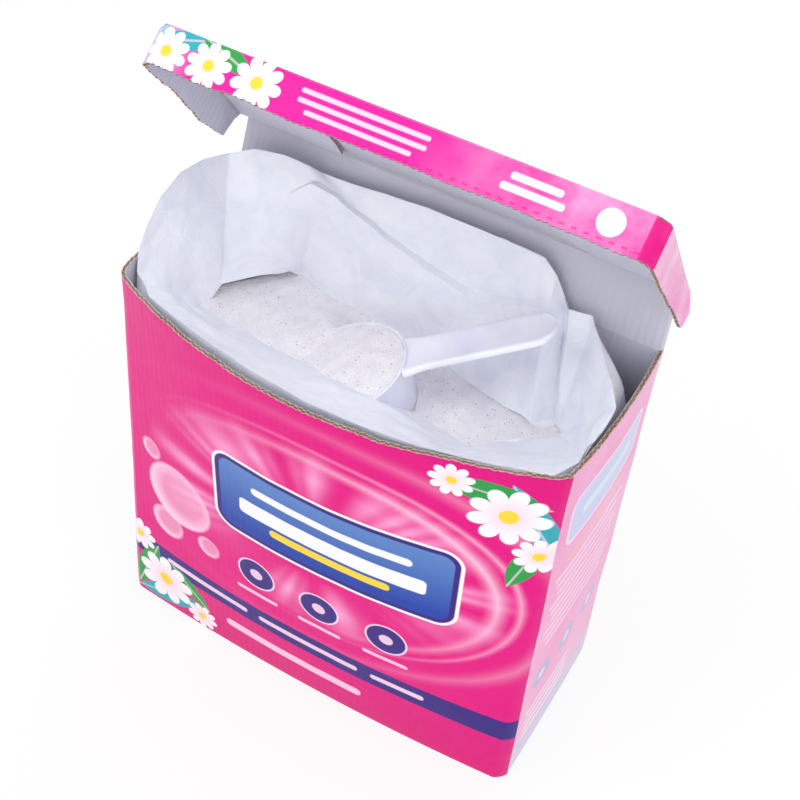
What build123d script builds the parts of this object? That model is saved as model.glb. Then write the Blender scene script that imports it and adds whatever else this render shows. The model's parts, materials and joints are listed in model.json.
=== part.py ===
"""A washing powder box: a folded carton with its lid torn open, and what it holds.

The carton is one sheet of fine-flute board. Its front panel has bowed outwards and its
front corners are double-scored. A zip strip has been torn out below the lid, so the lid
hangs from the fold at the top of the back panel. Inside stand a film bag, the powder and
a scoop. Millimetres, +Z up, the front faces -Y, origin at the middle of the base.
"""
import os
from math import cos, radians, sin

from build123d import *

# carton
width = 190.0              # across the front, at the base
depth = 80.0               # front to back, at the corners of the base
height = 208.5             # base to the fold that the lid hangs from
tear_height = 182.0        # torn edge of the front and the sides
board = 1.6                # fine-flute board
base_plies = 2             # the glued bottom flaps lie two deep
bevel = 4.5                # double score down each front corner
base_bow = 4.0             # how far the front panel swells at the base ...
rim_bow = 21.0             # ... and at the torn edge
side_base_bow = 0.3        # swell of each side panel at the base ...
side_bow = 2.0             # ... and at the torn edge
front_pull = 3.0           # the bowed front draws its corners in by this much at the torn edge
rear_pull = 2.0            # and the rear corners by this much
back_lean = 5.8            # the back panel's torn top leans back by this much
torn_taper = 1.5           # the torn ends of that top narrow towards the fold

# lid
lid_open = 50.0            # degrees from shut
lid_rim = 15.0             # depth of the strip left on the lid
lid_corner = 4.5           # double score on the lid's front corners
hinge_gap = 0.3            # play between the lid and the top of the back panel
strip_slant = 6.0          # how far the torn rear ends of the side strips slope forwards
flap_reach = 50.0          # glued dust flap, in from each side
flap_setback = 3.0         # its clearance from the fold and from the front strip
flap_chamfer = 14.0        # cut corners of its free edge

# film bag
film = 1.2                 # the crumpled film, taken as one thin wall
bag_gap = 0.5              # clearance to the board
bag_front_top = 184.0      # where the bag lies on the front torn edge
bag_back_top = 201.0       # where it stands up against the back and the left
lobe_front = -24.0         # the left upstand ends here, front to back
slope_start = 50.0         # the rim starts to fall here, left to right
slope_end = 90.0           # and is down at the front's level here

# powder
powder_level = 154.0
powder_gap = 0.2

# scoop
cup_radius = 25.0          # outside, at the rim
cup_foot_radius = 20.0
cup_depth = 36.0
cup_wall = 1.3
handle_reach = 56.0        # rim to the handle's end
handle_width = 17.0
handle_thick = 2.6
scoop_centre = (-8.0, -15.0, 161.5)
scoop_heading = 26.0       # degrees from +X towards +Y, the way that the handle points
scoop_rise = 24.0          # degrees that the handle climbs
scoop_bed_gap = 0.4        # powder pushed back from the cup

past = 1.0                 # how far a cut runs past what it cuts
back_y = depth / 2
hinge_y = back_y + back_lean
floor_top = base_plies * board
opening_angle = radians(lid_open)


def outline(z, inset=0.0):
    """Closed outline of the carton at height z, moved inwards by inset."""
    share = min(z, tear_height) / tear_height
    front_x = width / 2 - front_pull * share
    rear_x = width / 2 - rear_pull * share
    middle_x = (front_x + rear_x) / 2 + side_base_bow + (side_bow - side_base_bow) * share
    bow = base_bow + (rim_bow - base_bow) * share
    with BuildSketch(Plane.XY.offset(z)) as sketch:
        with BuildLine():
            ThreePointArc((-front_x + bevel, -back_y), (0, -back_y - bow), (front_x - bevel, -back_y))
            Line((front_x - bevel, -back_y), (front_x, -back_y + bevel))
            ThreePointArc((front_x, -back_y + bevel), (middle_x, 0), (rear_x, back_y))
            Line((rear_x, back_y), (-rear_x, back_y))
            ThreePointArc((-rear_x, back_y), (-middle_x, 0), (-front_x, -back_y + bevel))
            Line((-front_x, -back_y + bevel), (-front_x + bevel, -back_y))
        make_face()
        if inset:
            offset(amount=-inset, kind=Kind.INTERSECTION)
    return sketch.sketch


# ---- carton body: base, four walls and the leaning top of the back panel ----
strip_top = height - board - hinge_gap
strip_half = width / 2 - rear_pull
with BuildPart() as carton_body:
    loft([outline(0), outline(tear_height)], ruled=True)
    loft([outline(floor_top, board), outline(tear_height, board)], ruled=True, mode=Mode.SUBTRACT)
    with BuildSketch(Plane.XY.offset(tear_height)) as strip_foot:
        with Locations((0, back_y - board / 2)):
            Rectangle(2 * strip_half, board)
    with BuildSketch(Plane.XY.offset(strip_top)) as strip_head:
        with Locations((0, hinge_y - board / 2)):
            Rectangle(2 * (strip_half - torn_taper), board)
    loft([strip_foot.sketch, strip_head.sketch], ruled=True)
carton_body.part.label = "carton_body"

# ---- lid: top panel, front strip, side strips and the glued dust flaps under the panel ----
# lid_plane: x across, y from the fold to the front, z from the outside inwards
lid_plane = Plane(
    origin=(0, hinge_y, height),
    x_dir=(1, 0, 0),
    z_dir=(0, -sin(opening_angle), -cos(opening_angle)),
)
half = width / 2


def lid_outline(inset=0.0):
    """Top panel with its double-scored front corners; its rear edge stays on the fold."""
    edge = half - inset
    front = depth - inset
    cut = lid_corner - inset * (2 - 2 ** 0.5)
    with BuildSketch(lid_plane.offset(inset)) as sketch:
        with BuildLine():
            Polyline(
                (-edge, 0), (edge, 0), (edge, front - cut), (edge - cut, front),
                (-edge + cut, front), (-edge, front - cut), close=True,
            )
        make_face()
    return sketch.sketch


side_plane = Plane(lid_plane.origin - lid_plane.x_dir * (half + past), x_dir=lid_plane.y_dir,
                   z_dir=lid_plane.x_dir)
with BuildPart() as lid:
    extrude(lid_outline(), amount=lid_rim)
    extrude(lid_outline(board), amount=lid_rim, mode=Mode.SUBTRACT)
    # the side strips' torn rear ends
    with BuildSketch(side_plane):
        with BuildLine():
            Polyline((-past, board), (0, board), (strip_slant, lid_rim + past),
                     (-past, lid_rim + past), close=True)
        make_face()
    extrude(amount=width + 2 * past, mode=Mode.SUBTRACT)
    for side in (-1, 1):
        with BuildSketch(lid_plane.offset(board)):
            with BuildLine():
                inner_x = side * (half - flap_reach)
                outer_x = side * (half - board)
                front_y = depth - board - flap_setback
                Polyline(
                    (outer_x, flap_setback), (inner_x + side * flap_chamfer, flap_setback),
                    (inner_x, flap_setback + flap_chamfer), (inner_x, front_y - flap_chamfer),
                    (inner_x + side * flap_chamfer, front_y), (outer_x, front_y), close=True,
                )
            make_face()
        extrude(amount=board)
lid.part.label = "lid"

# ---- film bag: an open-topped liner, high at the back and the left ----
bag_inset = board + bag_gap
bag_floor = floor_top + bag_gap
with BuildPart() as film_bag:
    loft([outline(bag_floor, bag_inset), outline(tear_height, bag_inset)], ruled=True)
    extrude(outline(tear_height, bag_inset), amount=bag_back_top - tear_height)
    loft([outline(bag_floor + film, bag_inset + film), outline(tear_height, bag_inset + film)],
         ruled=True, mode=Mode.SUBTRACT)
    extrude(outline(tear_height, bag_inset + film), amount=bag_back_top - tear_height, mode=Mode.SUBTRACT)
    # cut the rim down at the front, and slope it down on the right
    with BuildSketch(Plane.XY.offset(bag_front_top)):
        with Locations((0, lobe_front - depth)):
            Rectangle(2 * width, 2 * depth)
    extrude(amount=height, mode=Mode.SUBTRACT)
    with BuildSketch(Plane.XZ.offset(-depth)):
        with BuildLine():
            Polyline(
                (slope_start, bag_back_top), (slope_end, bag_front_top), (width, bag_front_top),
                (width, height), (slope_start, height), close=True,
            )
        make_face()
    extrude(amount=2 * depth, mode=Mode.SUBTRACT)
film_bag.part.label = "film_bag"

# ---- scoop: a tapered cup with a flat handle off its rim ----
heading = radians(scoop_heading)
rise = radians(scoop_rise)
scoop_plane = Plane(
    origin=scoop_centre,
    x_dir=(cos(rise) * cos(heading), cos(rise) * sin(heading), sin(rise)),
    z_dir=(-sin(rise) * cos(heading), -sin(rise) * sin(heading), cos(rise)),
)
with BuildPart() as scoop:
    with BuildSketch(scoop_plane.offset(-cup_depth)) as cup_foot:
        Circle(cup_foot_radius)
    with BuildSketch(scoop_plane) as cup_rim:
        Circle(cup_radius)
    loft([cup_foot.sketch, cup_rim.sketch])
    with BuildSketch(scoop_plane.offset(-handle_thick)):
        with Locations(((cup_radius + handle_reach) / 2, 0)):
            SlotOverall(cup_radius + handle_reach, handle_width)
    extrude(amount=handle_thick)
    with BuildSketch(scoop_plane.offset(-cup_depth + cup_wall)) as well_foot:
        Circle(cup_foot_radius - cup_wall)
    with BuildSketch(scoop_plane) as well_rim:
        Circle(cup_radius - cup_wall)
    loft([well_foot.sketch, well_rim.sketch], mode=Mode.SUBTRACT)
scoop.part.label = "scoop"

# ---- powder: fills the bag to its level, with a bed pressed out by the scoop ----
powder_inset = bag_inset + film + powder_gap
powder_floor = bag_floor + film + powder_gap
with BuildPart() as washing_powder:
    loft([outline(powder_floor, powder_inset), outline(powder_level, powder_inset)], ruled=True)
    with BuildSketch(scoop_plane.offset(-cup_depth - scoop_bed_gap)) as bed_foot:
        Circle(cup_foot_radius + scoop_bed_gap)
    with BuildSketch(scoop_plane.offset(cup_depth / 2)) as bed_mouth:
        Circle(cup_radius + scoop_bed_gap + (cup_radius - cup_foot_radius) / 2)
    loft([bed_foot.sketch, bed_mouth.sketch], mode=Mode.SUBTRACT)
washing_powder.part.label = "washing_powder"

os.makedirs("parts", exist_ok=True)
for piece in (carton_body, lid, film_bag, washing_powder, scoop):
    export_step(piece.part, f"parts/{piece.part.label}.step")
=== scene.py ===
import json
import math

import bpy
import numpy as np
from mathutils import Matrix, Vector, noise


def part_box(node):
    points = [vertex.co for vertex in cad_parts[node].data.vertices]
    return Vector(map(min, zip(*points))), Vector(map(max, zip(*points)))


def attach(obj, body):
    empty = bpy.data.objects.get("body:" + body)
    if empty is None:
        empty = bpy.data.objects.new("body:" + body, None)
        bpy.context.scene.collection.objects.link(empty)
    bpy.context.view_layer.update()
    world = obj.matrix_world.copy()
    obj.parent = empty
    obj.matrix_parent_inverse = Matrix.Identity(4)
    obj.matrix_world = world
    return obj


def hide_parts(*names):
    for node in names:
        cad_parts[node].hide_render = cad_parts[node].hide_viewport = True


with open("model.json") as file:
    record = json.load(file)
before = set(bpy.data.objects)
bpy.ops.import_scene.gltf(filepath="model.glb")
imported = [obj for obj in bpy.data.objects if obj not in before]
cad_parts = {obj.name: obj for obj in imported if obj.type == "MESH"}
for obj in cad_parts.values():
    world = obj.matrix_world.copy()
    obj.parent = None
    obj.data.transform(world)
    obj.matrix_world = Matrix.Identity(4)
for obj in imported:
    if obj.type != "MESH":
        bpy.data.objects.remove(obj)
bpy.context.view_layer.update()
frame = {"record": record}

MM = 0.001


def span(node):
    """Lowest and highest corners of a CAD node, in millimetres."""
    low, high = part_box(node)
    return np.array(low) / MM, np.array(high) / MM


carton_high = span("carton_body")[1]
fold = np.array(frame["record"]["behaviour"]["joints"][0]["pos_m"], float) / MM

# ---- the sizes that the pieces share ----
width = 190.0
depth = 80.0
half_width = width / 2
back_y = depth / 2
tear_height = 182.0
board = 1.6
bevel = 4.5
base_bow, rim_bow = 4.0, 21.0
side_base_bow, side_bow = 0.3, 2.0
front_pull, rear_pull = 3.0, 2.0
strip_top = carton_high[2]
hinge_y, hinge_z = fold[1:]
lid_open = math.radians(50)
lid_rim = 15.0
lid_corner = 4.5
flute_pitch = 3.1
column_pitch = 0.9         # spacing of the carton's mesh columns


# ---------------------------------------------------------------- materials
class Wire:
    """A value in a material; using it in an expression adds the Math nodes."""

    def __init__(self, finish, socket):
        self.finish, self.socket = finish, socket

    def math(self, operation, *others, clamp=False):
        values = [o.socket if isinstance(o, Wire) else o for o in others]
        return self.finish.node("ShaderNodeMath", {"operation": operation, "use_clamp": clamp},
                                {i: v for i, v in enumerate(values)})

    def __add__(self, other):
        return self.math("ADD", self, other)

    __radd__ = __add__

    def __sub__(self, other):
        return self.math("SUBTRACT", self, other)

    def __rsub__(self, other):
        return self.math("SUBTRACT", other, self)

    def __mul__(self, other):
        return self.math("MULTIPLY", self, other)

    __rmul__ = __mul__

    def __truediv__(self, other):
        return self.math("DIVIDE", self, other)

    def __rtruediv__(self, other):
        return self.math("DIVIDE", other, self)

    def __pow__(self, exponent):
        return self.math("POWER", self, exponent)

    def __rpow__(self, base):
        return self.math("POWER", base, self)

    def __abs__(self):
        return self.math("ABSOLUTE", self)

    def __lt__(self, other):
        return self.math("LESS_THAN", self, other)

    def __gt__(self, other):
        return self.math("GREATER_THAN", self, other)

    def sin(self):
        return self.math("SINE", self)

    def root(self):
        return self.math("SQRT", self)

    def most(self, other):
        return self.math("MAXIMUM", self, other)

    def angle(self, other):
        return self.math("ARCTAN2", self, other)

    def clamped(self):
        return self.math("ADD", self, 0.0, clamp=True)

    def step(self, start, end):
        """0 before start, 1 after end, and a straight ramp between them."""
        return self.math("MULTIPLY", self - start, 1.0 / (end - start), clamp=True)


class Finish:
    """A procedural material built round one Principled shader."""

    def __init__(self, name, roughness=0.5, **constants):
        self.material = bpy.data.materials.new(name)
        self.material.use_nodes = True
        self.tree = self.material.node_tree
        self.shader = self.tree.nodes["Principled BSDF"]
        self.shader.inputs["Roughness"].default_value = roughness
        for key, value in constants.items():
            self.shader.inputs[key.replace("_", " ")].default_value = value

    def node(self, kind, settings, inputs, output=0):
        made = self.tree.nodes.new(kind)
        for key, value in settings.items():
            if key == "stops":
                ramp = made.color_ramp
                while len(ramp.elements) < len(value):
                    ramp.elements.new(0.5)
                for element, (place, colour) in zip(ramp.elements, value):
                    element.position, element.color = place, colour
            else:
                setattr(made, key, value)
        for key, value in inputs.items():
            value = value.socket if isinstance(value, Wire) else value
            if isinstance(value, bpy.types.NodeSocket):
                self.tree.links.new(value, made.inputs[key])
            else:
                made.inputs[key].default_value = value
        return Wire(self, made.outputs[output])

    def feed(self, socket, wire):
        self.tree.links.new(wire.socket, self.shader.inputs[socket])

    def mix(self, first, second, share):
        """Colour: first where share is 0, second where it is 1."""
        return self.node("ShaderNodeMix", {"data_type": "RGBA"}, {0: share, 6: first, 7: second}, 2)

    def place(self):
        """The piece's own x, y and z, in millimetres."""
        here = self.node("ShaderNodeTexCoord", {}, {}, "Object")
        whole = self.node("ShaderNodeVectorMath", {"operation": "SCALE"}, {0: here, "Scale": 1 / MM})
        parts = self.tree.nodes.new("ShaderNodeSeparateXYZ")
        self.tree.links.new(whole.socket, parts.inputs[0])
        return [Wire(self, o) for o in parts.outputs], whole

    def grain(self, where, scale, detail=2.0, roughness=0.5, distortion=0.0):
        return self.node("ShaderNodeTexNoise", {}, {"Vector": where, "Scale": scale, "Detail": detail,
                                                    "Roughness": roughness, "Distortion": distortion})

    def attribute(self, name):
        return self.node("ShaderNodeAttribute", {"attribute_name": name}, {}, "Fac")

    def bump(self, height, strength, distance):
        self.feed("Normal", self.node("ShaderNodeBump", {}, {"Height": height, "Strength": strength,
                                                             "Distance": distance}))


def paint(code):
    """A colour as it is written on screen, turned into the shader's linear values."""
    parts = [int(code[i:i + 2], 16) / 255 for i in (1, 3, 5)]
    return tuple(c / 12.92 if c <= 0.04045 else ((c + 0.055) / 1.055) ** 2.4 for c in parts) + (1.0,)


magenta = paint("#DE007F")
deep_magenta = paint("#CE0070")
pale_pink = paint("#F7A6D6")
blush = paint("#F9D5EC")
rose = paint("#EE92C6")
plum = paint("#36207C")
royal = paint("#1B3FA4")
sky = paint("#8FC4EC")
white_ink = paint("#F4F1F4")
yellow = paint("#F6D23A")
green = paint("#2E9A4A")
teal = paint("#2FA6B4")
bare_board = paint("#E9E3E8")
kraft = paint("#B08A66")
# painted shade: a dark brown for the shadowed gaps between the flutes of a torn edge
flute_gap_shade = paint("#5C432F")
film_white = paint("#F1F3FA")
powder_white = paint("#FBF8FC")
speck_blue = paint("#8E93B8")
scoop_white = paint("#F1F1FB")
petal_shade = paint("#F3D9E6")
strip_magenta = paint("#F0159A")
daisy_petals = 9
X, Y, Z = range(3)


class Print(Finish):
    """A coated print on one panel, inked one colour over another."""

    def __init__(self, name, across, up):
        super().__init__(name, Coat_Weight=0.08, Coat_Roughness=0.15, Specular_IOR_Level=0.12)
        axes, self.where = self.place()
        self.across, self.up = axes[across], axes[up]

    def ink(self, colour, share):
        """Lays a colour over what is printed so far."""
        self.colour = self.mix(self.colour, colour, share)

    def disc(self, x, z, radius, soft=0.25):
        """1 inside a disc, 0 outside, with a thin soft edge."""
        dx, dz = self.across - x, self.up - z
        return 1 - (dx * dx + dz * dz).root().step(radius - soft, radius + soft)

    def panel(self, x, z, half_x, half_z, corner, soft=0.25):
        """1 inside a rounded rectangle."""
        dx = (abs(self.across - x) - (half_x - corner)).most(0.0)
        dz = (abs(self.up - z) - (half_z - corner)).most(0.0)
        return 1 - (dx * dx + dz * dz).root().step(corner - soft, corner + soft)

    def label(self, x, z, half_x, half_z, corner, inks):
        """Rounded rectangles, one inside another: each ink with how much smaller it is."""
        for ink, less in inks:
            self.ink(ink, self.panel(x, z, half_x - less, half_z - less, corner - less))

    def band(self):
        """The dark band near the foot of the front and the back."""
        self.ink(plum, (self.up > 28.6) * (self.up < 40.9))

    def daisy(self, x, z, radius, turn):
        """A plain round-petalled flower with a yellow eye."""
        dx, dz = self.across - x, self.up - z
        away = (dx * dx + dz * dz).root()
        swing = ((dz.angle(dx) + turn) * (daisy_petals / 2)).sin()
        lobes = 0.52 + 0.48 * abs(swing) ** 0.45
        shade = self.mix(petal_shade, white_ink, away.step(radius * 0.25, radius * 0.8))
        self.ink(shade, 1 - (away / (lobes * radius)).step(0.97, 1.03))
        self.ink(yellow, self.disc(x, z, radius * 0.24))

    def leaf(self, x, z, length, thick, turn, ink):
        """A plain pointed leaf with a paler rib."""
        c, s = math.cos(turn), math.sin(turn)
        along = (self.across - x) * c + (self.up - z) * s
        side = (self.up - z) * c - (self.across - x) * s
        edge = (1 - (along / length) * (along / length)).most(0.0) * thick
        rib = 1 - abs(side).step(0.2, 0.6)
        self.ink(self.mix(ink, blush, rib * 0.55), (edge - abs(side)).step(0.05, 0.4))

    def rays(self, x, z, reach):
        """Magenta ground with pale rays and arcs round a middle point."""
        dx, dz = self.across - x, (self.up - z) * 1.5
        away = (dx * dx + dz * dz).root() / reach
        turn = dz.angle(dx)
        streaks = (turn * 9 + (turn * 4).sin() * 1.8).sin() * 0.5 + 0.5
        fine = (turn * 31 + (turn * 7).sin() * 2.5).sin() * 0.5 + 0.5
        ring = (1 - abs(away - 0.95) * 2.4).clamped()
        self.colour = magenta
        self.ink(pale_pink, (streaks * (0.45 + fine * 0.55) * ring * 0.9).clamped())
        sweep = (turn + away * 0.9).sin() * 0.5 + 0.5
        for radius, half, strength in ((1.28, 0.10, 0.7), (1.42, 0.05, 0.5), (1.68, 0.14, 0.35)):
            arc = (1 - abs(away - radius + sweep * 0.12) / half).clamped()
            self.ink(blush, arc * arc * sweep * sweep * strength)
        self.ink(deep_magenta, away.step(1.5, 2.6) * 0.4)

    def varnished(self):
        """Ends the print: its colour, a varnish, and the flutes just showing through."""
        flutes = (self.across * (2 * math.pi / flute_pitch)).sin() * 0.5 + 0.5
        dents = self.grain(self.where, 0.05, 3.0)
        self.bump(flutes * 0.06 + dents * 0.9, 0.35, 0.0012)
        self.feed("Roughness", 0.24 + self.grain(self.where, 0.35, 3.0) * 0.14)
        self.feed("Base Color", self.colour)
        return self.material


def front_print():
    """Rays behind a blue label, with bubbles, three discs, a band and flowers at two corners."""
    art = Print("printed_front", X, Z)
    art.rays(6.0, 108.0, 62.0)
    for x, z, r in ((-62, 84, 17), (-70, 62, 8.5), (-47, 64, 5.5), (-77, 102, 5)):
        inner = art.disc(x + r * 0.12, z + r * 0.12, r * 0.82, r * 0.2)
        art.ink(blush, art.disc(x, z, r, 0.8) * (1 - inner * 0.55) * 0.85)
    blue = art.mix(royal, sky, art.up.step(96, 146) * 0.5)
    art.label(12, 112, 53, 23, 9, ((white_ink, 0.0), (plum, 1.4), (blue, 3.6)))
    for ink, z, half, thick in (
            (white_ink, 121, 34, 2.1), (white_ink, 109, 40, 4.2), (yellow, 101, 26, 2.1)):
        art.ink(ink, art.panel(12, z, half, thick, 2.0))
    for x in (-22, 8, 38):
        art.ink(blush, art.disc(x, 66, 9.2))
        art.ink(plum, art.disc(x, 66, 8.4))
        art.ink(blush, art.disc(x, 66, 3.0) * 0.85)
        art.ink(blush, art.panel(x, 52, 10, 1.1, 1.0) * 0.8)
    art.band()
    for x, half in ((-50, 22), (2, 24), (44, 12)):
        art.ink(blush, art.panel(x, 34.7, half, 1.5, 1.4) * 0.9)
    art.ink(blush, art.panel(-6, 17, 34, 2.4, 2.2) * 0.85)
    for leaf in ((-84, 22, 19, 6, 1.2, green), (-72, 9, 20, 6, 0.3, teal), (-60, 24, 15, 4.5, 2.4, green),
                 (84, 160, 19, 6, -1.1, teal), (70, 170, 20, 6, -0.2, green), (84, 136, 14, 5, -1.9, green)):
        art.leaf(*leaf)
    for flower in ((-74, 19, 15, 0.2), (-88, 40, 9, 0.9), (-54, 8, 8, 0.5),
                   (76, 160, 14, 0.4), (88, 142, 9, 0.1), (56, 173, 8, 0.8)):
        art.daisy(*flower)
    return art.varnished()


def side_print():
    """The pale side panels: a blue label, rows of plain bars and three discs, with painted glare sheen:
    paler blotches all over and a pale bluish white towards the foot.
    """
    art = Print("printed_side", Y, Z)
    # painted sheen: paler blush blotches over the rose ground stand in for glare on the coat
    art.colour = art.mix(rose, blush, (art.grain(art.where, 0.02, 2.0) - 0.3).clamped() * 0.8)
    art.ink(magenta, art.across.step(-37.5, -38.6))
    # painted reflection: a pale bluish white fading in towards the foot of the panel
    art.ink(art.mix(sky, white_ink, 0.45), art.up.step(30, 8) * 0.7)
    art.label(2, 150, 30, 13, 6, ((blush, 0.0), (art.mix(sky, blush, 0.45), 1.6)))
    art.ink(art.mix(sky, white_ink, 0.6), art.panel(2, 150, 20, 2.6, 2.0))
    art.ink(art.mix(yellow, rose, 0.5), art.panel(2, 128, 26, 1.2, 1.0))
    for row in range(9):
        art.ink(blush, art.panel(0, 120 - row * 5.2, 29 - (row % 3) * 2, 1.1, 1.0) * 0.8)
    for y in (-21, 1, 23):
        art.ink(art.mix(sky, plum, 0.2), art.disc(y, 56, 7.0) * 0.6)
        art.ink(blush, art.disc(y, 56, 2.8) * 0.8)
    for row in range(4):
        art.ink(white_ink, art.panel(-8, 34 - row * 5.5, 20, 1.2, 1.0) * 0.7)
    return art.varnished()


def back_print():
    """Rays over a white panel with two columns of plain bars, a band and flowers."""
    art = Print("printed_back", X, Z)
    art.rays(-10.0, 120.0, 70.0)
    art.ink(white_ink, art.panel(0, 92, 74, 38, 6))
    for row in range(7):
        for x in (-36, 36):
            art.ink(plum, art.panel(x, 118 - row * 8.6, 30 - (row % 3) * 4, 1.1, 1.0) * 0.8)
    art.band()
    for x, z, r in ((-70, 168, 13), (-50, 176, 7), (72, 160, 11), (60, 176, 8)):
        art.daisy(x, z, r, 0.3)
    return art.varnished()


def base_print():
    """Bare white board with the print wrapping a little way under."""
    art = Print("printed_base", X, Y)
    art.colour = bare_board
    art.ink(magenta, (abs(art.up) > 34.0).most(abs(art.across) > 89.0))
    return art.varnished()


def lid_top_print():
    """Rays behind a blue label, with flowers at two corners."""
    art = Print("printed_lid_top", X, Y)
    art.rays(0.0, 40.0, 46.0)
    art.label(10, 42, 47, 19, 8, ((white_ink, 0.0), (royal, 1.6)))
    art.ink(white_ink, art.panel(10, 42, 32, 3.2, 2.4))
    for x, y, r in ((-74, 62, 13), (-84, 44, 8), (-58, 70, 7), (80, 16, 10)):
        art.daisy(x, y, r, 0.2)
    return art.varnished()


def lid_front_print():
    """The strip along the lid's front: flowers at the left, a plain block at the right, and painted glare
    sheen that pales the magenta towards the right.
    """
    art = Print("printed_lid_front", X, Z)
    # painted sheen: the magenta pales in blotches towards the right end, standing in for glare on the coat
    haze = art.grain(art.where, 0.05, 4.0, 0.6)
    pale = (art.across.step(8, 66) * 1.1 * haze.step(0.3, 0.7)).clamped()
    art.colour = art.mix(strip_magenta, pale_pink, pale * 0.85)
    art.ink(sky, art.across.step(-74, -94) * 0.8)
    dashes = (art.across * (2 * math.pi / 4.2)).sin().step(0.0, 0.25)
    art.ink(magenta, dashes * (art.up > 12.9) * (art.up < 13.7) * art.across.step(-20, 0) * 0.6)
    for leaf in ((-91, 5, 12, 4, 0.9, sky), (-80, 3, 14, 4, -0.3, teal), (-64, 3, 13, 4, 0.3, green)):
        art.leaf(*leaf)
    for flower in ((-86, 9, 8.5, 0.1), (-69, 8.5, 8.5, 0.6), (-50, 8, 9.5, 0.3)):
        art.daisy(*flower)
    for z, half in ((4.2, 24), (7.6, 24), (11.0, 20)):
        art.ink(blush, art.panel(-10, z, half, 0.8, 0.7) * 0.9)
    for z, half in ((5.0, 9), (9.0, 11)):
        art.ink(white_ink, art.panel(52, z, half, 1.2, 1.0) * 0.9)
    art.ink(white_ink, art.disc(78, 7.5, 4.6) * 0.95)
    art.ink(magenta, (art.across > half_width - lid_corner - 0.6) * 0.9)
    return art.varnished()


def lid_side_print():
    """Pale pink, with the magenta of the top wrapping over the edge."""
    art = Print("printed_lid_side", Y, Z)
    haze = art.grain(art.where, 0.05, 4.0, 0.6)
    art.colour = art.mix(rose, blush, haze.step(0.35, 0.7) * 0.7)
    art.ink(magenta, (art.up < 1.2) * 0.6)
    return art.varnished()


def liner():
    """The plain grey inside of the board, with the flutes telegraphing through."""
    finish = Finish("grey_liner", 0.82)
    where = finish.place()[1]
    tone = finish.grain(where, 0.02, 3.0)
    fibre = finish.grain(where, 1.4, 3.0)
    colour = finish.mix(paint("#C2C0CF"), paint("#D8D7E2"), (tone * 0.7 + fibre * 0.3))
    finish.feed("Base Color", colour)
    flutes = (finish.attribute("along") * (2 * math.pi / flute_pitch)).sin()
    finish.bump(flutes * 0.25 + fibre * 0.35, 0.35, 0.0007)
    return finish.material


def torn_edge():
    """A torn edge: two pale liners with the brown flutes showing between them, and painted shade in the gaps
    between the flutes.
    """
    finish = Finish("torn_flutes", 0.95)
    where = finish.place()[1]
    along, across = finish.attribute("along"), finish.attribute("across")
    wave = (along * (2 * math.pi / flute_pitch)).sin() * 0.28 + 0.5
    ribbon = 1 - abs(across - wave).step(0.08, 0.2)
    faces = abs(across - 0.5).step(0.26, 0.36)
    fibre = finish.grain(where, 2.2, 3.0)
    patch = finish.grain(where, 0.09, 2.0).step(0.42, 0.6)
    # painted shade: dark brown away from the flute's wave, where the gaps between the flutes lie in shadow
    inside = finish.mix(flute_gap_shade, kraft, (ribbon + fibre * 0.35).clamped())
    colour = finish.mix(inside, paint("#BFB4B8"), (faces * 0.85 + (1 - patch) * 0.18).clamped())
    finish.feed("Base Color", colour)
    finish.bump((ribbon + faces).clamped() + fibre * 0.4, 0.6, 0.0006)
    return finish.material


def film_finish():
    """Thin white plastic film: smooth, softly shining, with fine crinkles."""
    finish = Finish("white_film", Coat_Weight=0.15, Coat_Roughness=0.25)
    where = finish.place()[1]
    fine = finish.grain(where, 0.32, 4.0, 0.6, 0.6)
    broad = finish.grain(where, 0.07, 3.0, 0.5, 1.2)
    creases = finish.node("ShaderNodeTexVoronoi", {"feature": "DISTANCE_TO_EDGE"},
                          {"Vector": where, "Scale": 0.075, "Randomness": 1.0})
    finish.feed("Base Color", finish.mix(paint("#E9ECF6"), film_white, broad.step(0.35, 0.6)))
    finish.feed("Roughness", 0.36 + fine * 0.16)
    finish.bump(broad * 0.8 + fine * 0.12 + creases.step(0.0, 0.06) * 0.25, 0.3, 0.0012)
    return finish.material


def powder_finish():
    """Fine white granules with a scatter of blue and lilac ones."""
    finish = Finish("white_powder", 0.9)
    where = finish.place()[1]
    grains = finish.node("ShaderNodeTexVoronoi", {}, {"Vector": where, "Scale": 1.5})
    tint = finish.node("ShaderNodeTexVoronoi", {}, {"Vector": where, "Scale": 0.95})
    pick = finish.node("ShaderNodeTexVoronoi", {}, {"Vector": where, "Scale": 0.95}, "Color")
    chosen = finish.node("ShaderNodeSeparateColor", {}, {0: pick}) > 0.93
    speck = chosen * (tint < 0.30)
    clump = finish.grain(where, 0.16, 4.0)
    colour = finish.mix(paint("#F3EEF6"), powder_white, clump.step(0.3, 0.62))
    colour = finish.mix(colour, speck_blue, speck * 0.6)
    finish.feed("Base Color", colour)
    finish.bump((1 - grains) * 0.7 + clump * 0.7, 0.8, 0.0009)
    return finish.material


def scoop_finish():
    """Moulded white plastic, a little blue, with a satin face."""
    finish = Finish("scoop_plastic", Coat_Weight=0.1, Subsurface_Weight=0.05)
    where = finish.place()[1]
    haze = finish.grain(where, 0.05, 2.0)
    finish.feed("Base Color", finish.mix(paint("#E6E5F6"), scoop_white, haze.step(0.35, 0.6)))
    finish.feed("Roughness", 0.3 + finish.grain(where, 0.4, 3.0) * 0.12)
    finish.bump(finish.grain(where, 0.12, 2.0), 0.08, 0.0006)
    return finish.material


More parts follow.
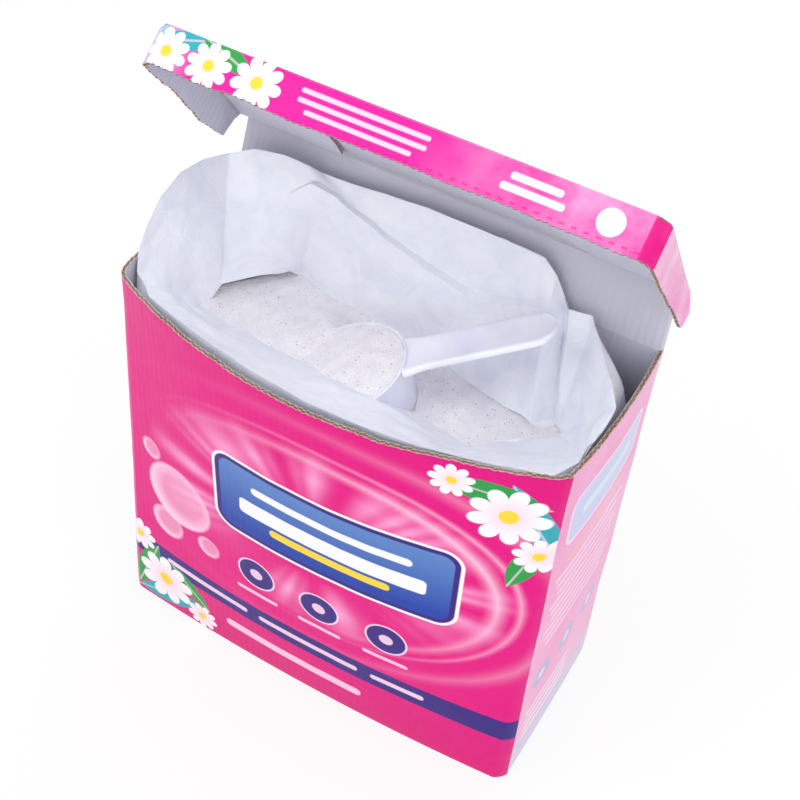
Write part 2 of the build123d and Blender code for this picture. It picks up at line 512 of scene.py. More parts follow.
# ---------------------------------------------------------------- mesh helpers
class Sheet:
    """Points, faces, finishes and board coordinates gathered for one mesh."""

    def __init__(self):
        self.points, self.faces, self.kinds, self.along, self.across = [], [], [], [], []

    def grid(self, grid, along, across):
        """Adds a grid of points, rows by columns, and returns their numbers."""
        start = len(self.points)
        rows, columns, _ = grid.shape
        self.points.extend(map(tuple, grid.reshape(-1, 3)))
        self.along.extend(np.broadcast_to(along, (rows, columns)).reshape(-1))
        self.across.extend([across] * (rows * columns))
        return np.arange(start, start + rows * columns).reshape(rows, columns)

    def quads(self, ids, kind, wrap=False, flip=False):
        """Faces over a grid of point numbers; kind is one finish or one for each column."""
        rows, columns = ids.shape
        last = columns if wrap else columns - 1
        for r in range(rows - 1):
            for c in range(last):
                n = (c + 1) % columns
                face = (ids[r, c], ids[r, n], ids[r + 1, n], ids[r + 1, c])
                self.faces.append(face[::-1] if flip else face)
                self.kinds.append(kind if np.isscalar(kind) else kind[c])

    def cap(self, ids, kind=0):
        """One flat face over a ring of point numbers."""
        self.faces.append(tuple(int(i) for i in ids))
        self.kinds.append(kind)

    def slab(self, outer, inner, along, kinds, wrap=False, edges="tbse"):
        """A board between two grids. kinds: outside, inside, edge. edges: which rims get faces."""
        a = self.grid(outer, along, 0.0)
        b = self.grid(inner, along, 1.0)
        self.quads(a, kinds[0], wrap)
        self.quads(b, kinds[1], wrap, flip=True)
        if "b" in edges:
            self.quads(np.stack([b[0], a[0]]), kinds[2], wrap)
        if "t" in edges:
            self.quads(np.stack([a[-1], b[-1]]), kinds[2], wrap)
        if not wrap and "s" in edges:
            self.quads(np.stack([a[:, 0], b[:, 0]]), kinds[2])
        if not wrap and "e" in edges:
            self.quads(np.stack([b[:, -1], a[:, -1]]), kinds[2])
        return a, b


def make_piece(name, sheet, materials, body, node=None, matrix=None, crease=35):
    """Turns a Sheet into an object that rides on a body."""
    mesh = bpy.data.meshes.new(name)
    mesh.from_pydata([tuple(c * MM for c in p) for p in sheet.points], [], sheet.faces)
    for key, values in (("along", sheet.along), ("across", sheet.across)):
        mesh.attributes.new(key, "FLOAT", "POINT").data.foreach_set("value", np.array(values, np.float32))
    for material in materials:
        mesh.materials.append(material)
    mesh.polygons.foreach_set("material_index", np.array(sheet.kinds, np.int32))
    mesh.validate()
    mesh.shade_smooth()
    mesh.set_sharp_from_angle(angle=math.radians(crease))
    piece = bpy.data.objects.new(name, mesh)
    bpy.context.collection.objects.link(piece)
    if matrix is not None:
        piece.matrix_world = matrix
    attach(piece, body)
    if node:
        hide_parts(node)
    return piece


def wander(p, scale, seed=0.0):
    """Smooth seeded noise between -1 and 1 at a point in millimetres."""
    return noise.noise(Vector((p[0] / scale + seed, p[1] / scale - seed, p[2] / scale + 2 * seed)))


def smooth_step(value, start, end):
    """0 before start, 1 after end, and an eased ramp between them."""
    t = np.clip((value - start) / (end - start), 0, 1)
    return t * t * (3 - 2 * t)


# ---------------------------------------------------------------- the carton
FRONT, SIDE, BACK, LINER, EDGE = range(5)


def bowed(start, end, bow, count, outward):
    """Points along a panel that swells by bow at its middle, without the last one."""
    t = np.linspace(0, 1, count, endpoint=False)[:, None]
    return start + (end - start) * t + 4 * t * (1 - t) * bow * np.array(outward)


def outline(z, inset=0.0, column=column_pitch):
    """Outline of the carton at height z, counted from the front left, moved in by inset."""
    share = min(max(z, 0), tear_height) / tear_height
    front_x = half_width - front_pull * share
    rear_x = half_width - rear_pull * share
    front_bow = base_bow + (rim_bow - base_bow) * share
    swell = side_base_bow + (side_bow - side_base_bow) * share
    along_front, along_side = int(width / column), int(depth / column)
    corners = [np.array(p, float) for p in (
        (-front_x + bevel, -back_y), (front_x - bevel, -back_y), (front_x, -back_y + bevel),
        (rear_x, back_y), (-rear_x, back_y), (-front_x, -back_y + bevel))]
    bevel_bow, bevel_columns = 0.5, 6
    runs = ((0, 1, front_bow, along_front, (0, -1)), (1, 2, bevel_bow, bevel_columns, (0.7, -0.7)),
            (2, 3, swell, along_side, (1, 0)), (3, 4, 0, along_front, (0, 1)),
            (4, 5, swell, along_side, (-1, 0)), (5, 0, bevel_bow, bevel_columns, (-0.7, -0.7)))
    points = np.concatenate([bowed(corners[a], corners[b], bow, n, out) for a, b, bow, n, out in runs])
    tangent = np.roll(points, -1, 0) - np.roll(points, 1, 0)
    tangent /= np.linalg.norm(tangent, axis=1)[:, None]
    normal = np.stack([tangent[:, 1], -tangent[:, 0]], 1)
    counts = [r[3] for r in runs]
    kinds = np.repeat([FRONT, FRONT, SIDE, BACK, SIDE, FRONT], counts)
    return points - normal * inset, kinds


def distances(path):
    """Distance along a path to each of its points."""
    return np.concatenate([[0], np.cumsum(np.linalg.norm(np.diff(path, axis=0), axis=1))])


def torn(run, seed, pull=0.55):
    """How far a torn edge stands above or below its line, at a distance along it."""
    tooth_pitch = 2.6
    teeth = 0.45 * np.abs(np.sin(run * math.pi / tooth_pitch))
    rag = np.array([noise.noise(Vector((r * 0.55, seed, 0.3))) for r in run])
    drift = np.array([noise.noise(Vector((r * 0.05, seed, 7.3))) for r in run])
    return teeth + pull * rag + 0.8 * drift


def build_carton(materials):
    """The printed board: bowed walls up to the tear, and the back panel's leaning top."""
    sheet = Sheet()
    ring, kinds = outline(tear_height)
    run = distances(ring)
    rise = torn(run, 1.7)
    rise[kinds == BACK] = 0
    levels = np.concatenate([[0, 0.4, 1.2], np.linspace(4, tear_height - 6, 26),
                             [tear_height - 3, tear_height - 1.2, tear_height]])
    foot_round = {0: 0.35, 0.4: 0.1}
    outer, inner = [], []
    for z in levels:
        out, _ = outline(z, foot_round.get(z, 0))
        inn, _ = outline(z, board)
        near = smooth_step(z, tear_height - 14, tear_height)
        wave = np.array([0.45 * wander((p[0], p[1], z), 34, 3.1) + 0.16 * wander((p[0], p[1], z), 9, 5.0)
                         for p in out])[:, None] * min(1, z / 20)
        centre = out / np.linalg.norm(out, axis=1)[:, None]
        height = z + rise * near
        push = centre * (wave - 0.25 + 0.35 * near)
        outer.append(np.column_stack([out + push, height]))
        inner.append(np.column_stack([inn + push, height + 0.25 * near]))
    outer, inner = np.array(outer), np.array(inner)
    is_back = kinds == BACK
    a = sheet.grid(outer, run, 0.0)
    b = sheet.grid(inner, run, 1.0)
    sheet.quads(a, kinds, wrap=True)
    sheet.quads(b, LINER, wrap=True, flip=True)
    sheet.quads(np.stack([b[0], a[0]]), EDGE, wrap=True)
    for c in range(len(ring)):
        n = (c + 1) % len(ring)
        if not (is_back[c] and is_back[n]):
            sheet.cap((a[-1, c], a[-1, n], b[-1, n], b[-1, c]), EDGE)
    # the leaning top of the back panel, from the tear line up to the lid's fold
    columns = np.where(is_back)[0]
    columns = np.append(columns, (columns[-1] + 1) % len(ring))
    lean_outer, lean_inner = [], []
    for t in np.linspace(0, 1, 9):
        z = tear_height + (strip_top - tear_height) * t
        shift = (hinge_y - back_y) * t
        base_out, base_in = outer[-1][columns].copy(), inner[-1][columns].copy()
        squeeze = 1 - 0.016 * t
        for base in (base_out, base_in):
            base[:, 0] *= squeeze
            base[:, 1] += shift
            base[:, 2] = z
        ripple = 0.35 * math.sin(math.pi * t)
        waves = np.array([ripple * wander((p[0], 0, z), 22, 8.0) for p in base_out])
        base_out[:, 1] += waves
        base_in[:, 1] += waves
        lean_outer.append(base_out)
        lean_inner.append(base_in)
    along = run[is_back][0] + np.arange(len(columns)) * column_pitch
    sheet.slab(np.array(lean_outer), np.array(lean_inner), along, (BACK, LINER, LINER), edges="tse")
    make_piece("carton_shell", sheet, materials, "box", "carton_body", crease=11)


def build_base(materials):
    """The glued base: two long flaps meet under two short ones."""
    base = Sheet()
    flap_column = 2.5
    lower_ring, _ = outline(0, 1.0, flap_column)
    upper_ring, _ = outline(board, board + 0.1, flap_column)
    seam = 0.4
    short_reach = 38
    flaps = []
    for sign in (-1, 1):
        order = sorted((p for p in lower_ring if p[1] * sign > seam), key=lambda p: math.atan2(p[1], p[0]))
        edge_x = max(abs(p[0]) for p in order) * sign
        shape = [(edge_x, seam * sign), *order, (-edge_x, seam * sign)]
        flaps.append((shape, 0.15, board - 0.1, 0))
    for sign in (-1, 1):
        reach = (p for p in upper_ring if p[0] * sign > short_reach)
        shape = sorted(reach, key=lambda p: math.atan2(p[1], p[0] * sign))
        flaps.append((shape[::sign], board, 2 * board, 1))
    for shape, low, high, under in flaps:
        start, n = len(base.points), len(shape)
        for level in (low, high):
            base.points.extend((p[0], p[1], level) for p in shape)
        base.along.extend([p[0] for p in shape] * 2)
        base.across.extend([0.0] * n + [1.0] * n)
        base.cap(range(start + n - 1, start - 1, -1), under)
        base.cap(range(start + n, start + 2 * n), 1)
        for i in range(n):
            j = (i + 1) % n
            base.cap((start + i, start + j, start + n + j, start + n + i), 2)
    make_piece("base_flaps", base, [base_print(), materials[LINER], materials[EDGE]], "box")


# ---------------------------------------------------------------- the lid
def lid_matrix():
    """Lid coordinates: x across, y from the fold to the front, z from outside to inside."""
    s, c = math.sin(lid_open), math.cos(lid_open)
    return Matrix(((1, 0, 0, 0), (0, -c, -s, hinge_y * MM), (0, s, -c, hinge_z * MM), (0, 0, 0, 1)))


TOP, STRIP_FRONT, STRIP_SIDE, LID_LINER, LID_EDGE = range(5)

# depth of the side strips from the fold (0) towards the front (80)
left_depth = ((0, 2.4), (4, 7.0), (7, 14.6), (15.4, 15.6), (25.6, 16.4), (33, 15.4), (80, 15.2))
right_depth = ((0, 2.4), (2, 14.8), (12, 13.6), (22, 13.0), (40, 13.6), (57, 14.4), (80, 15.2))
strip_step = 0.8           # spacing of the strip's mesh columns
edge_round = 1.0           # rounding where the strip folds down from the top panel


def build_lid(materials):
    """The lid's board: a rim strip with a ragged edge round three sides of the top panel."""
    sheet = Sheet()
    # the rim strip runs down the left, round the double-scored corners and up the right
    side = np.arange(1.0, depth - lid_corner, strip_step)
    front = np.arange(-half_width + lid_corner, half_width - lid_corner, strip_step)
    corner = [lid_corner * t for t in np.linspace(0, 1, 7)[1:-1]]
    strip = [((-half_width, y), STRIP_SIDE, np.interp(y, *zip(*left_depth))) for y in side]
    strip += [((-half_width + c, depth - (lid_corner - c)), STRIP_FRONT, lid_rim) for c in corner]
    strip += [((x, depth), STRIP_FRONT, lid_rim) for x in front]
    strip += [((half_width - (lid_corner - c), depth - c), STRIP_FRONT, lid_rim) for c in corner]
    strip += [((half_width, y), STRIP_SIDE, np.interp(y, *zip(*right_depth))) for y in side[::-1]]
    path, kinds, depths = (np.array(column) for column in zip(*strip))
    tangent = np.gradient(path, axis=0)
    tangent /= np.linalg.norm(tangent, axis=1)[:, None]
    outward = np.stack([-tangent[:, 1], tangent[:, 0]], 1)
    run = distances(path)
    rag = torn(run, 4.2, 0.35) - 0.3
    outer, inner = [], []
    levels = np.array([0.0, 0.25, 0.8, 2.2, 4.0, 6.5, 9.0, 11.5, 13.5, 15.0]) / lid_rim
    for level in levels:
        d = level * depths + rag * smooth_step(level, 0.75, 1.0)
        soft = edge_round * (1 - smooth_step(d, 0, 1.1))
        wave = np.array([0.5 * level * wander((p[0], p[1], level * lid_rim), 26, 2.2) for p in path])
        # the right strip's rear end splays out, and the left one is pushed in near its own
        splay = np.clip((22 - path[:, 1]) / 22, 0, 1) * level * 3.6
        dent = -2.6 * np.exp(-((path[:, 1] - 14) / 7) ** 2) * level
        bend = np.where(path[:, 0] >= half_width, splay, 0) + np.where(path[:, 0] <= -half_width, dent, 0)
        move = (wave + bend - soft)[:, None]
        outer.append(np.column_stack([path + outward * move, d]))
        inner.append(np.column_stack([path + outward * (move - board), np.maximum(d, board * 0.2)]))
    sheet.slab(np.array(outer), np.array(inner), run, (kinds[:-1], LID_LINER, LID_EDGE), edges="tse")
    # the top panel
    columns = np.linspace(-1, 1, 121)
    rows = np.concatenate([[0, 0.4, 1.0], np.linspace(2.5, depth - 2, 40), [depth - edge_round]])
    top_out, top_in = [], []
    for y in rows:
        xs = columns * (half_width - edge_round - max(0, y - (depth - lid_corner)) * 0.8)
        sag = np.array([0.35 * wander((x, y, 0), 40, 6.1) for x in xs]) * math.sin(math.pi * y / depth)
        fold_round = 0.2 * (1 - min(1, y))
        top_out.append(np.column_stack([xs, np.full(len(xs), y), sag + fold_round]))
        top_in.append(np.column_stack([xs, np.full(len(xs), y), sag + board]))
    sheet.slab(np.array(top_out)[:, ::-1], np.array(top_in)[:, ::-1], columns * half_width,
               (TOP, LID_LINER, LID_EDGE))
    make_piece("lid_board", sheet, materials, "lid", "lid", lid_matrix(), crease=16)


def build_dust_flaps(materials):
    """Two flaps glued under the top panel; the left one's rear corner isn't cut."""
    flap_reach, flap_thick, front_cut, setback = 50, 1.2, 14, 3.0
    for side, name, rear_cut, hang, lift in (
            (-1, "dust_flap_left", 2, 0.7, 0.3), (1, "dust_flap_right", 14, 0.6, 0.2)):
        flap = Sheet()
        ys = np.linspace(setback, depth - board - setback, 60)
        root = half_width - board - 0.6
        over = []
        for t in np.linspace(0, 1, 24):
            row = []
            for y in ys:
                cut = max(0, front_cut - (ys[-1] - y), rear_cut - (y - ys[0]))
                x = root + (half_width - flap_reach + cut - root) * t
                droop = hang * (1 - smooth_step(y, 3, 17)) * ((1 - t) ** 0.5 if side > 0 else 1)
                drop = droop + lift * t * t + 0.25 * wander((x, y, 0), 14, side)
                row.append((side * x, y, board + 0.1 + max(0, drop)))
            over.append(row)
        over = np.array(over)
        under = over + (0, 0, flap_thick)
        if side > 0:
            over, under = over[:, ::-1], under[:, ::-1]
        flap.slab(over, under, ys, (LID_LINER, LID_LINER, LID_EDGE))
        make_piece(name, flap, materials, "lid", matrix=lid_matrix())


# ---------------------------------------------------------------- the film bag
# Stations round the bag, from the front left corner along the front, up the right side,
# back along the rear and down the left. Each is the rim, two folds and the powder line.
film_stations = (
    ((-84, -33, 176.5), (-81, -22, 166), (-79, -14, 158), (-76, -8, 151)),
    ((-76, -41, 180.5), (-73, -28, 168), (-71, -17, 158), (-70, -8, 151)),
    ((-60, -47.5, 183.6), (-58, -33, 170), (-57, -19, 158), (-56, -8, 151)),
    ((-44, -51.5, 184.2), (-42, -36, 171), (-42, -21, 159), (-42, -10.5, 151)),
    ((-22, -55.5, 184.2), (-21, -40, 172), (-20, -25, 162.5), (-18, -12, 153.5)),
    ((2, -57.6, 184.0), (3, -43, 175), (5, -29, 168), (9, -17, 158)),
    ((24, -56.5, 183.8), (24, -41, 173.5), (25, -26, 164.5), (26, -14, 153)),
    ((44, -53, 183.2), (45, -38, 170), (46, -25, 159), (46, -16, 151.5)),
    ((62, -48, 182.6), (60, -34, 171), (58, -18, 161), (56, -5, 152)),
    ((76, -43.5, 182.0), (72, -28, 169), (68, -12, 159), (62, 1, 152)),
    ((86, -38, 181.0), (82, -24, 172), (76, -6, 162), (68, 6, 152)),
    ((91, -26, 181.0), (86, -16, 173), (79, -2, 162), (71, 9, 152)),
    ((92, -13, 186.0), (86, -10, 175), (78, 2, 162), (71, 10, 152)),
    ((92, -4, 188.0), (86, 2, 176), (78, 7, 163), (71, 10.5, 152)),
    ((85, 8, 188.4), (80, 10, 176), (75, 10.5, 163), (70.5, 11, 152)),
    ((75, 22, 188.6), (73.5, 18, 176), (72, 14, 163), (70, 11, 152)),
    ((66, 35, 188.8), (67.5, 27, 176), (69, 18, 163), (70, 11.5, 152)),
    ((57, 33, 188.8), (61, 26, 176), (65.5, 18, 163), (69.5, 12, 152)),
    ((54, 36.5, 190.0), (58, 31, 177), (63, 23, 163), (66, 15, 152)),
    ((49, 36.8, 198.0), (50.5, 28, 187.5), (55, 18, 170), (59.5, 8, 152)),
    ((43, 37, 203.6), (44, 30.5, 185.0), (49, 20, 168), (52, 10, 152)),
    ((30, 37, 204.0), (31, 31, 179.5), (32, 23, 165), (31, 14, 151.5)),
    ((10, 37, 204.0), (20.8, 31, 175.5), (18, 25, 163), (15, 18, 151)),
    ((-9, 37, 203.8), (8, 30.6, 179.5), (2, 27, 164), (-3, 22, 151)),
    ((-22, 37, 202.8), (-5.9, 30.4, 183.5), (-14, 28, 166), (-19, 24, 151)),
    ((-33, 37, 201.7), (-20, 30.2, 188.5), (-28, 29, 169), (-32, 26.5, 151)),
    ((-44, 37, 200.6), (-31, 30, 193.0), (-42, 31, 172), (-46, 29, 151)),
    ((-52, 36.5, 200.5), (-42, 30, 198.0), (-53, 32, 174), (-56, 31, 151)),
    ((-56, 35.0, 202.5), (-52, 29, 199.5), (-56, 28.5, 176), (-58, 26, 156.5)),
    ((-67, 33.5, 204.0), (-62, 27, 190), (-63, 23.5, 171), (-63, 20, 156.5)),
    ((-80, 31.5, 202.6), (-76, 24, 187), (-72, 17, 169), (-69, 12, 156.5)),
    ((-88, 27, 200.0), (-84, 19, 184), (-79, 10, 169), (-75, 3.5, 156.5)),
    ((-91.5, 15, 202.4), (-85, 8, 184), (-77, 6, 166), (-75.5, -0.5, 152.5)),
    ((-92, 1, 204.0), (-86, -4, 184), (-80, -1, 167), (-77.5, -3, 151)),
    ((-92, -11, 200.0), (-88, -9, 185), (-83, -5, 167), (-78, -5, 151)),
    ((-92, -20, 192.2), (-88, -15, 180), (-83, -9, 165), (-78, -6.5, 151)),
    ((-91, -27, 185.4), (-87, -19, 175), (-82, -12, 163), (-77.5, -7.5, 151)),
    ((-89, -31, 179.0), (-85, -22, 170), (-80.5, -13, 160), (-77, -8, 151)),
)


def spread(values, per):
    """Straight runs between the stations, closed into a ring."""
    values = np.array(values, float)
    following = np.roll(values, -1, 0)
    return np.concatenate([[a + (b - a) * i / per for i in range(per)] for a, b in zip(values, following)])


def crumple(p, seed):
    """Small crisp facets left by handling, in millimetres out of the sheet."""
    total = 0.0
    for size, share in ((26, 1.0), (11, 0.45)):
        value = noise.noise(Vector((p[0] / size + seed, p[1] / size, p[2] / size - seed)))
        total += share * (abs(value) * 2 - 0.45)
    return total


def grid_normals(grid):
    """Unit normals of a closed grid of points, rows by columns."""
    around = np.roll(grid, -1, 1) - np.roll(grid, 1, 1)
    down = np.gradient(grid, axis=0)
    normal = np.cross(around, down)
    return normal / np.maximum(np.linalg.norm(normal, axis=2), 1e-6)[..., None]


film_wall_levels = (5, 40, 80, 120, 145)
film_per, film_rows = 9, 11        # mesh steps between stations, and between a station's points
lapped_stations = range(20, 29)    # the front layer laps over the one behind along these
fold_lap = 3.0
film_gap = 1.4                     # from the board's inner face, below the rim
flap_lift = 154                    # where the film ends above this, it stands off the powder
film_top = 204.3                   # just under the lid when it is shut
film_half_low, film_half_high = 90.6, 92.6     # reach to each side, in the box and above it
film_bow_half = 88.0               # half of the front's bowed stretch


def build_film(material):
    """The bag, row by row: up beside the board, over the rim and down to the powder."""
    rim, upper, lower, line = (spread([s[i] for s in film_stations], film_per) for i in range(4))
    count = len(rim)
    grid = []
    for z in film_wall_levels:
        ring, _ = outline(z, board + film_gap)
        nearest = [ring[np.argmin(((ring - p[:2]) ** 2).sum(1))] for p in rim]
        grid.append(np.column_stack([np.array(nearest), np.full(count, float(z))]))
    wall = grid[-1]
    # the outer side stays by the board until just below the rim
    for t in (0.25, 0.5, 0.72, 0.88, 0.96):
        xy = wall[:, :2] + (rim[:, :2] - wall[:, :2]) * t ** 3.9
        grid.append(np.column_stack([xy, wall[:, 2] + (rim[:, 2] - wall[:, 2]) * t]))
    first_loose = len(grid) - 2
    lapped = spread([(0, fold_lap, -1.2) if i in lapped_stations else (0, 0, 0)
                     for i in range(len(film_stations))], film_per)
    for a, b in ((rim, upper + lapped), (upper, lower), (lower, line)):
        for i in range(film_rows):
            grid.append(a + (b - a) * i / film_rows)
        if a is rim:
            fold_row = len(grid)
    grid.append(line)
    outward = line[:, :2] / np.linalg.norm(line[:, :2], axis=1)[:, None]
    tuck = np.where(line[:, 2] > flap_lift, 17.0, 7.0)[:, None]
    grid.append(np.column_stack([line[:, :2] + outward * tuck, np.minimum(line[:, 2] - 2.5, 150)]))
    grid = np.array(grid)
    rows = len(grid)
    # soften the folds a little, across and along
    soft = (grid[:-2] + 2 * grid[1:-1] + grid[2:]) / 4
    for r in range(first_loose + 3, rows - 2):
        if abs(r - fold_row) > 1:
            grid[r] = soft[r - 1]
    grid = (np.roll(grid, 1, 1) + 4 * grid + np.roll(grid, -1, 1)) / 6
    normal = grid_normals(grid)
    for r in range(first_loose, rows - 1):
        loose = smooth_step(r, first_loose, first_loose + 8)
        for c in range(count):
            p = grid[r, c]
            grid[r, c] = p + normal[r, c] * (0.25 + 1.0 * loose) * crumple(p, 2.0)
    # stay inside the board, and under the shut lid
    low = grid[..., 2] < tear_height + 1.5
    bow = base_bow + (rim_bow - base_bow) * np.minimum(grid[..., 2], tear_height) / tear_height
    front = board + 1.2 - (back_y + bow * (1 - (grid[..., 0] / film_bow_half) ** 2))
    grid[..., 1] = np.where(low, np.maximum(grid[..., 1], front), grid[..., 1])
    reach = np.where(low, film_half_low, film_half_high)
    grid[..., 0] = np.clip(grid[..., 0], -reach, reach)
    grid[..., 1] = np.minimum(grid[..., 1], back_y - board - 1.0)
    grid[..., 2] = np.minimum(grid[..., 2], film_top)
    sheet = Sheet()
    a, b = sheet.slab(grid, grid - grid_normals(grid) * 0.3, np.arange(count) * 1.0, (0, 0, 0), wrap=True,
                      edges="t")
    # the bag's bottom lies flat on the base
    sheet.cap(a[0][::-1])
    sheet.cap(b[0])
    make_piece("film_bag_crumpled", sheet, [material], "box", "film_bag", crease=16)


# ---------------------------------------------------------------- the powder
cup_radius, cup_foot, cup_depth, cup_wall = 25.0, 20.0, 36.0, 1.3
scoop_centre = np.array((-8.0, -15.0, 161.5))
scoop_heading, scoop_rise = math.radians(26), math.radians(24)
powder_level = 151.6


def scoop_frame():
    """The middle of the scoop's rim, and its axes: along the handle, across it and up."""
    x = np.array((math.cos(scoop_rise) * math.cos(scoop_heading),
                  math.cos(scoop_rise) * math.sin(scoop_heading), math.sin(scoop_rise)))
    z = np.array((-math.sin(scoop_rise) * math.cos(scoop_heading),
                  -math.sin(scoop_rise) * math.sin(scoop_heading), math.cos(scoop_rise)))
    return scoop_centre, x, np.cross(z, x), z


def powder_height(x, y):
    """Height of the powder: gently uneven, banked over the scoop's buried rim, and clear of its cup."""
    p = (x, y, 0)
    top = powder_level + 1.5 * wander(p, 38, 9.0) + 0.7 * wander(p, 13, 4.0) + 0.35 * wander(p, 4.2, 1.0)
    centre, ax, ay, az = scoop_frame()
    dx, dy = x - centre[0], y - centre[1]
    away = max(math.hypot(dx, dy), 1e-6)
    facing = (dx * ax[0] + dy * ax[1]) / away / math.hypot(ax[0], ax[1])
    rim_height = centre[2] + cup_radius * ax[2] * facing
    buried = float(smooth_step(-facing, -0.15, 0.35))
    past_rim = (away - cup_radius + 2) / (15 if away > cup_radius - 2 else 30)
    top += max(0.0, rim_height + 0.9 - top) * buried * math.exp(-past_rim ** 2)
    lx, ly, lz = np.array((dx, dy, top - centre[2])) @ np.array((ax, ay, az)).T
    radius_here = cup_radius + (cup_radius - cup_foot) * min(0.0, lz) / cup_depth
    if math.hypot(lx, ly) < radius_here - 0.65 and lz > -cup_depth:
        inwards = radius_here - math.hypot(lx, ly)
        top = top - 0.35 * inwards if facing < -0.1 and inwards < 14 else centre[2] - cup_depth - 6
    return top


def build_powder(material):
    """The powder in the bag: a level bed inside the film's line, and a plain body below."""
    sheet = Sheet()
    line = spread([s[3] for s in film_stations], 14)
    middle = line[:, :2].mean(0)
    rim = middle + (line[:, :2] - middle) * 1.09
    grid = []
    for t in np.linspace(0, 1, 110)[:0:-1]:
        xy = middle + (rim - middle) * t
        grid.append(np.column_stack([xy, [powder_height(*p) for p in xy]]))
    low = []
    for z in (4.5, 60, 120, 140):
        shape, _ = outline(z, board + 2.6, 2.0)
        bearing = np.arctan2(shape[:, 1], shape[:, 0])
        order = np.argsort(bearing)
        angle = np.arctan2(rim[:, 1], rim[:, 0])
        shrink = 0.97 if z < 140 else 0.93
        xs, ys = (np.interp(angle, bearing[order], shape[order, i], period=2 * math.pi) * shrink
                  for i in (0, 1))
        low.append(np.column_stack([xs, ys, np.full(len(xs), float(z))]))
    grid = np.array(low + grid)
    ids = sheet.grid(grid, np.arange(grid.shape[1]), 0.0)
    sheet.quads(ids, 0, wrap=True)
    sheet.cap(ids[0][::-1])
    sheet.cap(ids[-1])
    make_piece("powder_heap", sheet, [material], "box", "washing_powder", crease=80)


def build_scoopful(material):
    """The powder in the scoop: level with the cup's rim, a little heaped."""
    scoopful = Sheet()
    centre, ax, ay, az = scoop_frame()
    angles = np.linspace(0, 2 * math.pi, 140, endpoint=False)
    fill_radius = cup_radius - cup_wall - 0.15
    rings = []
    for r in np.concatenate([[fill_radius - 2.2], np.linspace(fill_radius, 0.6, 46)]):
        row = []
        for a in angles:
            flat = centre + ax * r * math.cos(a) + ay * r * math.sin(a)
            if rings:
                out = r / fill_radius
                heap_up = 2.4 * (1 - out ** 2) - 0.8 + 1.6 * min(0.0, math.cos(a)) * out
                heap_up += 0.5 * wander(flat, 9, 2.0) + 0.25 * wander(flat, 3.4, 5.0)
            else:
                heap_up = -12.0
            row.append(flat + az * heap_up)
        rings.append(row)
    ids = scoopful.grid(np.array(rings), angles, 0.0)
    scoopful.quads(ids, 0, wrap=True)
    scoopful.cap(ids[0][::-1])
    scoopful.cap(ids[-1])
    make_piece("scoopful_of_powder", scoopful, [material], "box", crease=80)


# ---------------------------------------------------------------- the scoop
handle_end, handle_half, handle_thick = 81.0, 8.5, 2.6


def build_scoop(material):
    """A tapered cup turned from its section, and a flat handle lofted along its length."""
    centre, ax, ay, az = scoop_frame()
    matrix = Matrix(((ax[0], ay[0], az[0], centre[0] * MM), (ax[1], ay[1], az[1], centre[1] * MM),
                     (ax[2], ay[2], az[2], centre[2] * MM), (0, 0, 0, 1)))
    outside = [(cup_foot - 3, -cup_depth), (cup_foot - 1, -cup_depth + 0.6), (cup_foot, -cup_depth + 2.2),
               (cup_radius - 1.2, -6.0), (cup_radius - 0.35, -1.0), (cup_radius - 0.1, -0.35)]
    mouth, well = cup_radius - cup_wall, cup_foot - cup_wall
    inside = [(cup_radius - 0.45, 0.0), (mouth + 0.2, -0.1), (mouth, -0.7), (well + 0.3, -cup_depth + 5),
              (well - 2.4, -cup_depth + cup_wall + 0.4)]
    angles = np.linspace(0, 2 * math.pi, 96, endpoint=False)
    scoop = Sheet()
    turned = np.array([[(r * math.cos(a), r * math.sin(a), z) for a in angles] for r, z in outside + inside])
    ids = scoop.grid(turned, angles, 0.0)
    scoop.quads(ids, 0, wrap=True)
    scoop.cap(ids[0][::-1])
    scoop.cap(ids[-1])
    # the handle: a flat tongue with rounded edges and a shallow channel
    tip = handle_end - handle_half
    xs = np.concatenate([np.linspace(cup_radius - 1.6, tip, 40),
                         tip + handle_half * np.sin(np.linspace(0, math.pi / 2, 14))[1:]])
    edge = [(1, -0.5), (1, -0.8), (0.9, -1.0)]
    top = [(0.66, -0.25), (0.82, 0.0), (0.93, -0.12)]
    section = [(-v, w) for v, w in edge[:1] + top[::-1]] + [(0, -0.4)] + top + edge + [(0, -0.95)]
    section += [(-v, w) for v, w in edge[:0:-1]]
    rows = []
    for x in xs:
        rounding = max(0.0, x - tip) / handle_half
        half_here = handle_half * math.sqrt(max(0.0004, 1 - rounding ** 2))
        flare = 1.5 * math.exp(-((x - cup_radius) / 4) ** 2)
        rows.append([(x, v * (half_here + flare), w * handle_thick) for v, w in section])
    ids = scoop.grid(np.array(rows), np.arange(len(section)), 0.0)
    scoop.quads(ids, 0, wrap=True)
    scoop.cap(ids[0][::-1])
    scoop.cap(ids[-1])
    make_piece("scoop_moulding", scoop, [material], "box", "scoop", matrix, crease=50)


# ---------------------------------------------------------------- build it all
board_edge, board_liner = torn_edge(), liner()
carton_boards = [front_print(), side_print(), back_print(), board_liner, board_edge]
build_carton(carton_boards)
build_base(carton_boards)
lid_boards = [lid_top_print(), lid_front_print(), lid_side_print(), board_liner, board_edge]
build_lid(lid_boards)
build_dust_flaps(lid_boards)
build_film(film_finish())
granules = powder_finish()
build_powder(granules)
build_scoopful(granules)
build_scoop(scoop_finish())


# ---------------------------------------------------------------- floor, light and camera
world_level = 0.70         # the world's light on the object; the background itself shows as 1
lamp_size = 0.9
lamp_aim = Vector((0, 0, 0.12))
floor_glow = 0.82          # share of the floor's colour that is plain white for the background


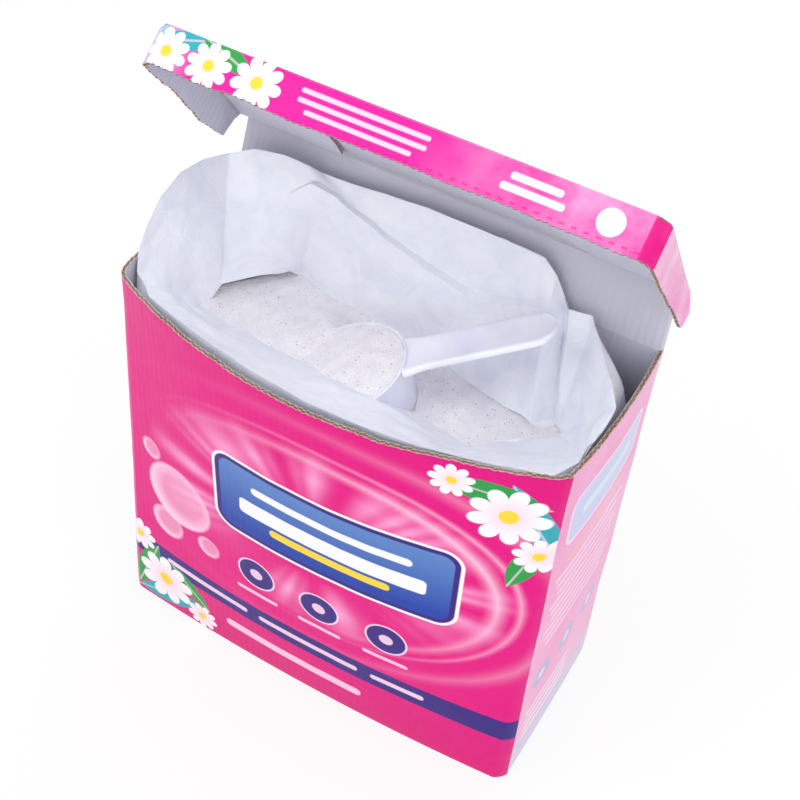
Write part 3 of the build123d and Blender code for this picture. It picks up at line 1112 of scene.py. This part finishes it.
def background_ray(tree):
    """1 for rays that show the background: straight to the camera, mirrored, or through glass."""
    path = tree.nodes.new("ShaderNodeLightPath")
    total = path.outputs["Is Camera Ray"]
    for kind in ("Is Glossy Ray", "Is Transmission Ray"):
        add = tree.nodes.new("ShaderNodeMath")
        add.operation, add.use_clamp = "ADD", True
        tree.links.new(total, add.inputs[0])
        tree.links.new(path.outputs[kind], add.inputs[1])
        total = add.outputs[0]
    return total


def build_studio():
    """A pale floor, an even world and five soft lamps."""
    mesh = bpy.data.meshes.new("studio_floor")
    half = 4.0
    corners = [(-half, -half, 0), (half, -half, 0), (half, half, 0), (-half, half, 0)]
    mesh.from_pydata(corners, [], [(0, 1, 2, 3)])
    floor = bpy.data.objects.new("studio_floor", mesh)
    bpy.context.collection.objects.link(floor)
    finish = Finish("pale_floor", 0.9)
    finish.shader.inputs["Base Color"].default_value = (0.86, 0.86, 0.87, 1)
    seen = background_ray(finish.tree)
    glow = finish.node("ShaderNodeEmission", {}, {"Color": (1, 1, 1, 1), "Strength": 1.0})
    mixed = finish.node("ShaderNodeMixShader", {}, {0: Wire(finish, seen) * floor_glow,
                                                    1: Wire(finish, finish.shader.outputs[0]), 2: glow})
    finish.tree.links.new(mixed.socket, finish.tree.nodes["Material Output"].inputs["Surface"])
    mesh.materials.append(finish.material)

    world = bpy.data.worlds.new("studio_world")
    bpy.context.scene.world = world
    world.use_nodes = True
    tree = world.node_tree
    background = tree.nodes["Background"]
    background.inputs["Color"].default_value = (1, 1, 1, 1)
    level = tree.nodes.new("ShaderNodeMath")
    level.operation = "MULTIPLY_ADD"
    tree.links.new(background_ray(tree), level.inputs[0])
    level.inputs[1].default_value = 1 - world_level
    level.inputs[2].default_value = world_level
    tree.links.new(level.outputs[0], background.inputs["Strength"])

    for name, place, energy in (
            ("soft_key", (-0.55, -0.75, 1.25), 4.6), ("soft_fill", (1.1, -0.5, 0.9), 3.2),
            ("soft_top", (0.05, -0.1, 1.5), 5.0), ("soft_front", (0.15, -1.3, 0.3), 3.0),
            ("soft_back", (-0.2, 1.3, 0.9), 4.0)):
        light = bpy.data.lights.new(name, "AREA")
        light.size, light.energy = lamp_size, energy
        lamp = bpy.data.objects.new(name, light)
        bpy.context.collection.objects.link(lamp)
        lamp.location = place
        lamp.rotation_mode = "QUATERNION"
        lamp.rotation_quaternion = (lamp_aim - Vector(place)).to_track_quat("-Z", "Y")


camera_place = Vector((0.17616, -0.35097, 0.51939))
camera_angles = (25.41, 44.13, 6.53)
camera_lens = 63.93


def build_camera():
    """The camera: turned to the right of the front, tilted down and rolled a little."""
    turn, tilt, roll = (math.radians(angle) for angle in camera_angles)
    forward = Vector((-math.sin(turn) * math.cos(tilt), math.cos(turn) * math.cos(tilt), -math.sin(tilt)))
    right = Vector((math.cos(turn), math.sin(turn), 0))
    up = right.cross(forward)
    across = right * math.cos(roll) + up * math.sin(roll)
    upward = up * math.cos(roll) - right * math.sin(roll)
    data = bpy.data.cameras.new("view_camera")
    data.sensor_width, data.lens = 36.0, camera_lens
    camera = bpy.data.objects.new("view_camera", data)
    bpy.context.collection.objects.link(camera)
    basis = Matrix((across, upward, -forward)).transposed().to_4x4()
    camera.matrix_world = Matrix.Translation(camera_place) @ basis
    bpy.context.scene.camera = camera


build_studio()
build_camera()
bpy.context.scene.view_settings.view_transform = "Standard"
